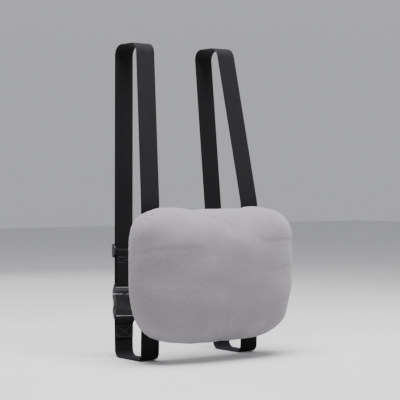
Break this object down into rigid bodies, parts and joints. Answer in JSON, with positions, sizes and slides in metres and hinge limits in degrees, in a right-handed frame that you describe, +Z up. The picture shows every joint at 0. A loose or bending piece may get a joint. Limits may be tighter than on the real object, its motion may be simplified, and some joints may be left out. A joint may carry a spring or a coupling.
{
  "type": "lumbar support cushion",
  "caption": "Grey fabric lumbar cushion with a crowned front and a zipped flat back, held to a chair's backrest by two black elastic strap loops with buckles and adjusters.",
  "frame": {"origin": "middle of the cushion's flat back face, where it rests on the backrest", "axes": "+Y out of the back face into the backrest, +Z up along the backrest, +X to the right of someone who looks at the cushion's front"},
  "size_m": [0.33, 0.2178, 0.5476],
  "materials": {
    "cover_fabric": "matte",
    "wadding": "matte",
    "foam": "matte",
    "zip_tape": "matte",
    "zip_coil": "satin",
    "zip_metal": "satin",
    "strap_webbing": "matte",
    "buckle_plastic": "satin",
    "label": "matte"
  },
  "bodies": {
    "cushion": {"front_cover": "cover_fabric", "wadding_wrap": "wadding", "foam_core": "foam", "back_cover_upper": "cover_fabric", "back_cover_lower": "cover_fabric", "zip_tape_upper": "zip_tape", "zip_tape_lower": "zip_tape", "zip_coil_upper": "zip_coil", "zip_coil_lower": "zip_coil", "zip_top_stop": "zip_metal", "zip_bottom_stop": "zip_metal", "care_label": "label", "upper_strap_left": "strap_webbing", "upper_strap_right": "strap_webbing", "lower_strap_left": "strap_webbing", "lower_strap_right": "strap_webbing", "buckle_female_left": "buckle_plastic", "buckle_female_right": "buckle_plastic"},
    "zip_slider": {"zip_slider": "zip_metal"},
    "zip_pull": {"zip_pull": "zip_metal"},
    "plug_left": {"buckle_male_left": "buckle_plastic"},
    "adjuster_left": {"strap_adjuster_left": "buckle_plastic"},
    "prong_left_outer": {"buckle_prong_left_outer": "buckle_plastic"},
    "prong_left_inner": {"buckle_prong_left_inner": "buckle_plastic"},
    "plug_right": {"buckle_male_right": "buckle_plastic"},
    "adjuster_right": {"strap_adjuster_right": "buckle_plastic"},
    "prong_right_outer": {"buckle_prong_right_outer": "buckle_plastic"},
    "prong_right_inner": {"buckle_prong_right_inner": "buckle_plastic"}
  },
  "joints": [
    {"name": "zip_slide", "type": "slide", "parent": "cushion", "child": "zip_slider", "axis": [-1, 0, 0], "range_m": [0, 0.224]},
    {"name": "zip_pull_swing", "type": "hinge", "parent": "zip_slider", "child": "zip_pull", "pos_m": [0.112, 0.0026, -0.052], "axis": [0, 0, 1], "range_deg": [0, 180]},
    {"name": "left_buckle_release", "type": "slide", "parent": "cushion", "child": "plug_left", "axis": [0.0402, 0.0566, 0.9976], "range_m": [0, 0.03], "deforming": ["upper_strap_left"]},
    {"name": "left_outer_prong_squeeze", "type": "hinge", "parent": "plug_left", "child": "prong_left_outer", "pos_m": [-0.11613, 0.08477, -0.03723], "axis": [0, -0.9984, 0.0567], "range_deg": [0, 12.5], "deforming": ["buckle_prong_left_outer"]},
    {"name": "left_inner_prong_squeeze", "type": "hinge", "parent": "plug_left", "child": "prong_left_inner", "pos_m": [-0.09315, 0.08472, -0.03815], "axis": [0, 0.9984, -0.0567], "range_deg": [0, 12.5], "deforming": ["buckle_prong_left_inner"]},
    {"name": "left_adjuster_slide", "type": "slide", "parent": "plug_left", "child": "adjuster_left", "axis": [0.0402, 0.0566, 0.9976], "range_m": [-0.02, 0.06]},
    {"name": "right_buckle_release", "type": "slide", "parent": "cushion", "child": "plug_right", "axis": [-0.0402, 0.0566, 0.9976], "range_m": [0, 0.03], "deforming": ["upper_strap_right"]},
    {"name": "right_outer_prong_squeeze", "type": "hinge", "parent": "plug_right", "child": "prong_right_outer", "pos_m": [0.11613, 0.08477, -0.03723], "axis": [0, 0.9984, -0.0567], "range_deg": [0, 12.5], "deforming": ["buckle_prong_right_outer"]},
    {"name": "right_inner_prong_squeeze", "type": "hinge", "parent": "plug_right", "child": "prong_right_inner", "pos_m": [0.09315, 0.08472, -0.03815], "axis": [0, -0.9984, 0.0567], "range_deg": [0, 12.5], "deforming": ["buckle_prong_right_inner"]},
    {"name": "right_adjuster_slide", "type": "slide", "parent": "plug_right", "child": "adjuster_right", "axis": [-0.0402, 0.0566, 0.9976], "range_m": [-0.02, 0.06]}
  ],
  "couplings": [
    {"joint": "left_outer_prong_squeeze", "follows": "left_buckle_release", "rad_per_m": 7},
    {"joint": "left_inner_prong_squeeze", "follows": "left_buckle_release", "rad_per_m": 7},
    {"joint": "right_outer_prong_squeeze", "follows": "right_buckle_release", "rad_per_m": 7},
    {"joint": "right_inner_prong_squeeze", "follows": "right_buckle_release", "rad_per_m": 7}
  ]
}
